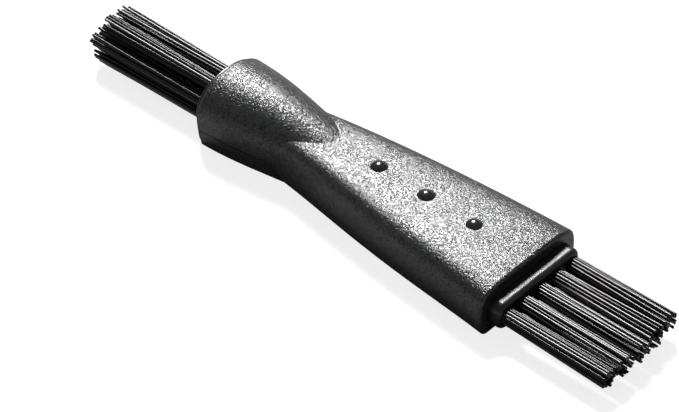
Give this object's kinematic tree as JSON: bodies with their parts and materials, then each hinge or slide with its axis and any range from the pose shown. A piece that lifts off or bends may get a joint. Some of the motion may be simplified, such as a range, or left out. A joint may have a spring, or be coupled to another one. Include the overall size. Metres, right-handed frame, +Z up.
{
  "type": "double-ended cleaning brush",
  "caption": "Small double-ended cleaning brush: a narrow round bristle bundle on a bulbous waisted handle, and a wide flat row of bristle tufts at the other end, with domed grip bumps.",
  "frame": {"origin": "middle of the brush's length and width, on the surface that it lies on", "axes": "+X along the brush from the narrow end to the wide end, +Y across it, +Z up from its flat underside to the grip bumps"},
  "size_m": [0.099, 0.0198, 0.0104],
  "materials": {
    "shell": "black moulded plastic with a coarse sparkling grain, glossy on the grip bumps",
    "block": "smooth black moulded plastic",
    "bristle": "glossy black nylon filaments",
    "anchor": "flat drawn wire, bright"
  },
  "bodies": {
    "root": {"upper_shell": "shell", "lower_shell": "shell", "wide_tuft_block": "block", "narrow_tuft_block": "block", "wide_tuft_1": "bristle", "wide_tuft_2": "bristle", "wide_tuft_3": "bristle", "wide_tuft_4": "bristle", "wide_tuft_5": "bristle", "narrow_tuft_1": "bristle", "narrow_tuft_2": "bristle", "narrow_tuft_3": "bristle", "narrow_tuft_4": "bristle", "narrow_tuft_5": "bristle", "narrow_tuft_6": "bristle", "narrow_tuft_7": "bristle", "narrow_tuft_8": "bristle", "wide_anchor_1": "anchor", "wide_anchor_2": "anchor", "wide_anchor_3": "anchor", "wide_anchor_4": "anchor", "wide_anchor_5": "anchor", "narrow_anchor_1": "anchor", "narrow_anchor_2": "anchor", "narrow_anchor_3": "anchor", "narrow_anchor_4": "anchor", "narrow_anchor_5": "anchor", "narrow_anchor_6": "anchor", "narrow_anchor_7": "anchor", "narrow_anchor_8": "anchor"}
  },
  "joints": []
}
